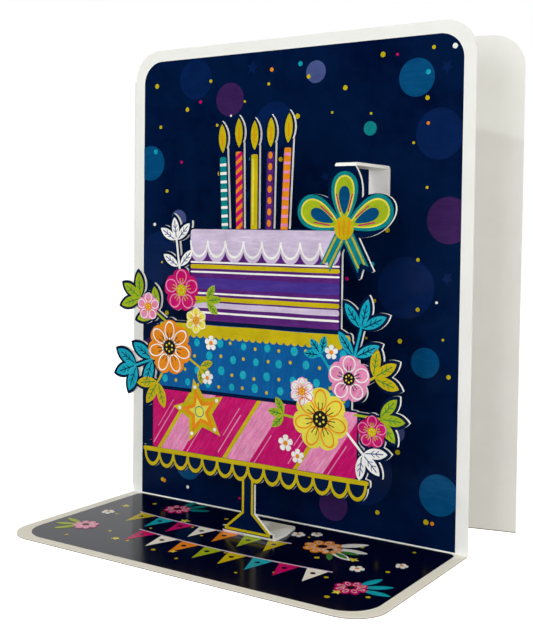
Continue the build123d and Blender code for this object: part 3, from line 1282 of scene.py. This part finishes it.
@dataclass
class GardenPrint:
    """Print on the leafy sprigs and blossoms at both sides of the cake, and small motifs on it."""

    face: PrintedFace
    leaf_pitch: float = 8.0
    leaf_spread: float = 50.0
    stem_width: float = 2.4
    sprigs: tuple[Sprig, ...] = (
        Sprig(-25.0, 84.5, 8.0, 9.0, 8.6, 5.0, Ink.LIME, Ink.GREEN),
        Sprig(-27.0, 64.0, 330.0, 9.0, 8.0, 4.8, Ink.GOLD, Ink.GREEN),
        Sprig(23.0, 46.0, 172.0, 9.0, 8.6, 5.0, Ink.LIME, Ink.GREEN),
        Sprig(35.0, 64.0, 128.0, 9.0, 8.4, 5.0, Ink.TURQUOISE, Ink.NAVY),
        Sprig(-38.0, 64.0, 200.0, 17.0, 12.5, 6.4, Ink.TURQUOISE, Ink.NAVY),
        Sprig(-37.0, 60.0, 238.0, 10.0, 12.0, 6.0, Ink.GOLD, Ink.GREEN),
        Sprig(-36.0, 76.0, 147.0, 19.0, 11.5, 5.8, Ink.LIME, Ink.GREEN),
        Sprig(-30.0, 90.0, 98.0, 20.0, 10.5, 5.2, Ink.WHITE, Ink.SLATE),
        Sprig(42.0, 62.0, 76.0, 20.0, 12.0, 5.4, Ink.TURQUOISE, Ink.NAVY),
        Sprig(43.0, 58.0, 32.0, 12.0, 11.5, 5.8, Ink.GOLD, Ink.GREEN),
        Sprig(44.0, 50.0, 358.0, 12.0, 11.0, 5.6, Ink.LIME, Ink.GREEN),
        Sprig(40.0, 45.0, 314.0, 13.0, 11.0, 5.6, Ink.WHITE, Ink.SLATE),
    )
    blossoms: tuple[Blossom, ...] = (
        Blossom(-23.0, 78.0, 5.6, 6, Ink.LEMON, Ink.WHITE, Ink.ORANGE),
        Blossom(23.5, 56.0, 5.8, 6, Ink.WHITE, Ink.PINK, Ink.ORANGE),
        Blossom(-35.5, 67.0, 11.5, 7, Ink.ORANGE, Ink.WHITE, Ink.BLACK),
        Blossom(-30.0, 89.0, 9.0, 5, Ink.MAGENTA, Ink.PINK, Ink.GOLD),
        Blossom(-46.0, 82.0, 6.2, 5, Ink.PINK, Ink.WHITE, Ink.ORANGE),
        Blossom(31.0, 47.0, 12.0, 7, Ink.LEMON, Ink.ORANGE, Ink.BLACK),
        Blossom(42.0, 62.0, 9.0, 5, Ink.PINK, Ink.WHITE, Ink.BLACK),
        Blossom(51.0, 45.0, 6.4, 5, Ink.MAGENTA, Ink.PINK, Ink.GOLD),
    )
    small_blossoms: tuple[Triple, ...] = (  # middle and radius of each
        (-16.0, 70.0, 2.8), (-17.5, 57.0, 2.6), (17.0, 37.0, 3.0), (22.0, 33.0, 2.6), (35.0, 70.5, 2.6)
    )
    star: Quad = (-21.0, 44.0, 25.0, 14.0)  # middle, size and turn
    star_layers: tuple[tuple[str, float, Ink, Layer], ...] = (
        ("star", 1.0, Ink.GOLD, Layer.SPRIG),
        ("star_heart", 0.7, Ink.ORANGE, Layer.VEIN),
        ("star_core", 0.42, Ink.LEMON, Layer.PETAL),
    )

    def build(self) -> None:
        """Prints the sprigs, then the blossoms over them, then the small motifs on the cake."""
        for index, sprig in enumerate(self.sprigs, start=1):
            self.print_sprig(index, sprig)
        for index, blossom in enumerate(self.blossoms, start=1):
            self.print_blossom(index, blossom)
        self.face.small_blossoms(self.small_blossoms)
        x, z, size, turn = self.star
        for name, share, ink, layer in self.star_layers:
            self.face.press(name, [Mark(Shape.STAR, x, z, size * share, size * share, turn)], ink, layer)
        ring = Mark(Shape.RING, x, z, size * 0.17, size * 0.17)
        self.face.press("star_ring", [ring], Ink.TEAL, Layer.OUTLINE)
        tips = [dot(*polar(x, z, UP + turn + 72.0 * k, size * 0.37), size * 0.055) for k in range(5)]
        self.face.press("star_tips", tips, Ink.WHITE, Layer.OUTLINE)

    def print_sprig(self, index: int, sprig: Sprig) -> None:
        """Prints one sprig: its stem, leaves and their veins.

        Args:
            index: Number in the pieces' names.
            sprig: The sprig.
        """
        x, z, stem, length, width = sprig.x, sprig.z, sprig.stem, sprig.length, sprig.width
        pairs = int(stem // self.leaf_pitch)
        roots = [(stem - self.stem_width, 0.0)]
        for pair in range(pairs):
            along = stem * (pair + 1) / pairs - self.stem_width
            roots += [(along, self.leaf_spread), (along, -self.leaf_spread)]
        leaves = [Mark(Shape.STROKE, x, z, stem, 0.9, sprig.turn)]
        veins = []
        for along, spread in roots:
            root, turn = polar(x, z, sprig.turn, along), sprig.turn + spread
            leaves.append(spoke(Shape.LEAF, *root, turn, away=0.7, length=length - 2.2, width=width - 1.9))
            veins.append(spoke(Shape.STROKE, *root, turn, away=1.4, length=length * 0.6, width=0.4))
            for step in (0.3, 0.46):
                foot = polar(*root, turn, length * step)
                for side in (-38.0, 38.0):
                    veins.append(Mark(Shape.STROKE, *foot, width * 0.32, 0.28, turn + side))
        self.face.press(f"sprig_{index}", leaves, sprig.ink, Layer.SPRIG)
        self.face.press(f"sprig_veins_{index}", veins, sprig.vein_ink, Layer.VEIN)

    def print_blossom(self, index: int, blossom: Blossom) -> None:
        """Prints one blossom: petals, their outlines, and its eye with stamens and sparks.

        Args:
            index: Number in the pieces' names.
            blossom: The blossom.
        """
        x, z, r, count, press = blossom.x, blossom.z, blossom.radius, blossom.petals, self.face.press
        half = math.sin(math.pi / count)
        turns = [UP + 360.0 * k / count + side for k in range(count) for side in (-9.0, 9.0)]
        press(f"blossom_{index}", flower(x, z, r - 1.0, count, 1.55 * half + 0.05), blossom.ink, Layer.PETAL)
        rings = wheel(Shape.RING, x, z, count, away=r * 0.56, length=r * 0.62, width=r * 0.95 * half)
        press(f"blossom_lines_{index}", rings, blossom.line_ink, Layer.OUTLINE)
        press(f"blossom_eye_{index}", [dot(x, z, r * 0.5)], blossom.eye_ink, Layer.EYE)
        sizes = {"away": r * 0.2, "length": r * 0.3, "width": 0.32}
        stamens = [spoke(Shape.STROKE, x, z, turn, **sizes) for turn in turns]
        press(f"blossom_stamens_{index}", stamens, blossom.eye_ink, Layer.OUTLINE)
        sparks = [dot(*polar(x, z, 30.0 + 60.0 * k, r * 0.13), r * 0.07) for k in range(6)]
        press(f"blossom_sparks_{index}", sparks, Ink.LEMON, Layer.SPARK)


@dataclass
class PopupGround:
    """Night-blue ground over the whole printed side of the pop-up sheet, cut with its outline."""

    node: Piece
    bridge_low: float = 134.0
    bridge_left: float = 34.0
    facing: float = 0.99
    depth_slack: float = 0.05
    weld: float = 1e-6

    def build(self) -> None:
        """Takes the printed side from a copy of the sheet and gives it the ink's thickness."""
        piece = bpy.data.objects.new("popup_ground", self.node.data.copy())
        bpy.context.collection.objects.link(piece)
        pick(piece)
        set_mode("EDIT")
        select_mesh()
        bpy.ops.mesh.remove_doubles(threshold=self.weld)
        bpy.ops.mesh.select_mode(type="FACE")
        bpy.ops.mesh.select_all(action="DESELECT")
        set_mode("OBJECT")
        for polygon in piece.data.polygons:
            polygon.select = not self.is_printed(polygon.center / MM, polygon.normal)
        set_mode("EDIT")
        bpy.ops.mesh.delete(type="FACE")
        set_mode("OBJECT")
        bpy.ops.object.modifier_add(type="SOLIDIFY")
        film = piece.modifiers[-1]
        film.thickness = FILM * MM
        film.offset = 1.0
        bpy.ops.object.modifier_apply(modifier=film.name)
        join_card(piece, Ink.NAVY, Slot.BOARD)

    def is_printed(self, middle: Vector, normal: Vector) -> bool:
        """Tells whether a face lies on the printed side.

        Args:
            middle: The face's middle, in millimetres.
            normal: Its direction.

        Returns:
            True for the front and the bridge's upper side, not for the folds, where the ink has cracked off.
        """
        if normal.y < -self.facing and abs(middle.y - POPUP_Y) < self.depth_slack:
            return True
        return normal.z > self.facing and middle.z > self.bridge_low and middle.x > self.bridge_left


@dataclass(frozen=True)
class Lamp:
    """A soft square lamp: its place and size in metres, its power in watts and its colour."""

    name: str
    place: Point
    size: float
    power: float
    colour: Colour


@dataclass
class Studio:
    """Pale floor, white surroundings and soft lamps."""

    floor_size: float = 12.0
    floor_tone: Colour = (236, 236, 234)
    floor_rough: float = 0.9
    floor_lift: float = 0.87
    fill: float = 0.2
    fill_tone: Colour = (255, 247, 228)
    lamps: tuple[Lamp, ...] = (
        Lamp("front_softbox", (-0.15, -1.6, 0.42), 0.9, 9.4, (242, 247, 255)),
        Lamp("key_softbox", (-0.25, -0.95, 1.2), 0.035, 3.6, (250, 255, 250)),
        Lamp("quarter_softbox", (1.15, -0.95, 0.35), 0.7, 7.3, (249, 247, 255)),
        Lamp("side_softbox", (1.5, 0.12, 0.25), 0.6, 4.6, (255, 254, 236)),
        Lamp("back_softbox", (0.3, 1.6, 0.8), 1.0, 4.0, (255, 240, 216)),
        Lamp("top_softbox", (0.05, -0.08, 1.3), 0.4, 3.5, (255, 241, 194)),
    )
    aim: Point = (0.0, 0.02, 0.09)
    flag_size: Span = (9.0, 3.0)
    flag_distance: float = 2.6
    flag_tone: Colour = (14, 14, 16)

    def build(self) -> None:
        """Lays the floor, sets the world, hangs the lamps and stands the flag."""
        self.lay_floor()
        self.set_world()
        self.hang_lamps()
        self.stand_flag()

    def shown(self, bench: NodeBench, unseen: Node, seen: Node) -> Socket:
        """Mixes two shaders by what a ray is for.

        Args:
            bench: Where the nodes go.
            unseen: Shader for rays that only light the card.
            seen: Shader for rays that show the surroundings, straight or mirrored.

        Returns:
            The mixed shader.
        """
        path = bench.add("ShaderNodeLightPath").outputs
        either = bench.math("MAXIMUM", path["Is Camera Ray"], path["Is Glossy Ray"])
        mask = bench.math("MAXIMUM", either, path["Is Transmission Ray"])
        inputs = {0: mask, 1: unseen.outputs[0], 2: seen.outputs[0]}
        return bench.add("ShaderNodeMixShader", inputs).outputs[0]

    def lay_floor(self) -> None:
        """Lays a pale matt floor that keeps the card's shadow."""
        pick()
        bpy.ops.mesh.primitive_grid_add(x_subdivisions=4, y_subdivisions=4, size=self.floor_size)
        floor = bpy.context.object
        floor.name = "studio_floor"
        made, bench, shader = new_material("pale_floor", specular=0.0, rough=self.floor_rough)
        shader.inputs["Base Color"].default_value = linear(self.floor_tone)
        dark, glow = (bench.add("ShaderNodeEmission", {"Strength": lift}) for lift in (0.0, self.floor_lift))
        both = bench.add("ShaderNodeAddShader", {0: shader.outputs[0], 1: self.shown(bench, dark, glow)})
        bench.feed(made.node_tree.nodes["Material Output"], {"Surface": both.outputs[0]})
        floor.data.materials.append(made)

    def set_world(self) -> None:
        """Makes the surroundings white to the eye and a soft fill light for the card."""
        world = bpy.data.worlds.new("studio_world")
        bpy.context.scene.world = world
        world.use_nodes = True
        bench = NodeBench(world.node_tree)
        soft = world.node_tree.nodes["Background"]
        bench.feed(soft, {"Color": linear(self.fill_tone), "Strength": self.fill})
        white = bench.add("ShaderNodeBackground", {"Color": (1.0, 1.0, 1.0, 1.0), "Strength": 1.0})
        bench.feed(world.node_tree.nodes["World Output"], {"Surface": self.shown(bench, soft, white)})

    def hang_lamps(self) -> None:
        """Hangs the soft lamps, each turned to the card and kept out of its mirror images."""
        for given in self.lamps:
            bpy.ops.object.light_add(type="AREA", location=given.place)
            lamp = bpy.context.object
            lamp.name = given.name
            lamp.data.shape = "SQUARE"
            lamp.data.size = given.size
            lamp.data.energy = given.power
            lamp.data.color = linear(given.colour)[:3]
            lamp.rotation_mode = "QUATERNION"
            lamp.rotation_quaternion = (Vector(self.aim) - Vector(given.place)).to_track_quat("-Z", "Y")
            lamp.visible_glossy = False

    def stand_flag(self) -> None:
        """Stands a dark flag before the card, which only its glossy film mirrors."""
        pick()
        bpy.ops.mesh.primitive_grid_add(x_subdivisions=2, y_subdivisions=2, size=1.0)
        flag = bpy.context.object
        flag.name = "dark_flag"
        width, height = self.flag_size
        place = Matrix.Translation((0.0, -self.flag_distance, height / 2))
        upright = Matrix.Rotation(math.pi / 2, 4, "X")
        flag.data.transform(place @ upright @ Matrix.Diagonal((width, height, 1.0, 1.0)))
        made, _, shader = new_material("black_felt", specular=0.0)
        shader.inputs["Base Color"].default_value = linear(self.flag_tone)
        flag.data.materials.append(made)
        for kind in ("camera", "diffuse", "shadow", "transmission"):
            setattr(flag, "visible_" + kind, False)


@dataclass
class PhotoCamera:
    """Camera at the photograph's viewpoint."""

    eye: Point = (0.2060, -0.2917, 0.1125)
    azimuth: float = 33.23
    elevation: float = 2.17
    roll: float = 0.67
    lens: float = 57.6
    sensor: float = 36.0
    shift_y: float = -0.080
    clip: Span = (0.01, 50.0)

    def build(self) -> None:
        """Adds the camera and makes it the scene's own."""
        a, e = math.radians(self.azimuth), math.radians(self.elevation)
        back = Vector((math.sin(a) * math.cos(e), -math.cos(a) * math.cos(e), math.sin(e)))
        bpy.ops.object.camera_add(location=self.eye)
        camera = bpy.context.object
        camera.name = "photo_camera"
        upright = (-back).to_track_quat("-Z", "Y").to_matrix()
        rolled = upright @ Matrix.Rotation(math.radians(self.roll), 3, "Z")
        camera.rotation_mode = "QUATERNION"
        camera.rotation_quaternion = rolled.to_quaternion()
        camera.data.sensor_width = self.sensor
        camera.data.lens = self.lens
        camera.data.shift_y = self.shift_y
        camera.data.clip_start, camera.data.clip_end = self.clip
        bpy.context.scene.camera = camera


def dress_stock() -> None:
    """Gives both sheets their white stock."""
    card = StockFinish("coated_card", (242, 243, 241), (230, 230, 226), rough=0.5, specular=0.1)
    board = StockFinish("popup_board", (251, 251, 250), (242, 242, 241), rough=0.45, specular=0.3)
    for name, finish in (("card_sheet", card), ("popup_sheet", board)):
        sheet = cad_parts[name]
        sheet.data.materials.clear()
        sheet.data.materials.append(finish.material())
        log.info("%s dressed in %s", name, finish.name)


def standing(depth: float) -> Matrix:
    """Gives the transform from an upright face, which lies at a depth along Y, to the frame."""
    return Matrix(((MM, 0, 0, 0), (0, 0, -MM, depth * MM), (0, MM, 0, 0), (0, 0, 0, 1)))


def main() -> None:
    """Builds the camera, the studio, the card's stock and its print."""
    logging.basicConfig(level=logging.INFO, format="%(name)s: %(message)s")
    bpy.context.scene.view_settings.view_transform = "Standard"
    PhotoCamera().build()
    Studio().build()
    dress_stock()
    plate = PrintingPlate()
    lying = Matrix(((MM, 0, 0, 0), (0, MM, 0, 0), (0, 0, MM, BASE_Z * MM), (0, 0, 0, 1)))
    WallPrint(PrintedFace("wall", standing(WALL_Y), Slot.CARD, plate)).build()
    BasePrint(PrintedFace("base", lying, Slot.CARD, plate)).build()
    PopupGround(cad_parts["popup_sheet"]).build()
    popup = PrintedFace("popup", standing(POPUP_Y), Slot.BOARD, plate)
    CakePrint(popup).build()
    CandlePrint(popup).build()
    BowPrint(popup).build()
    GardenPrint(popup).build()


if __name__ == "__main__":
    main()
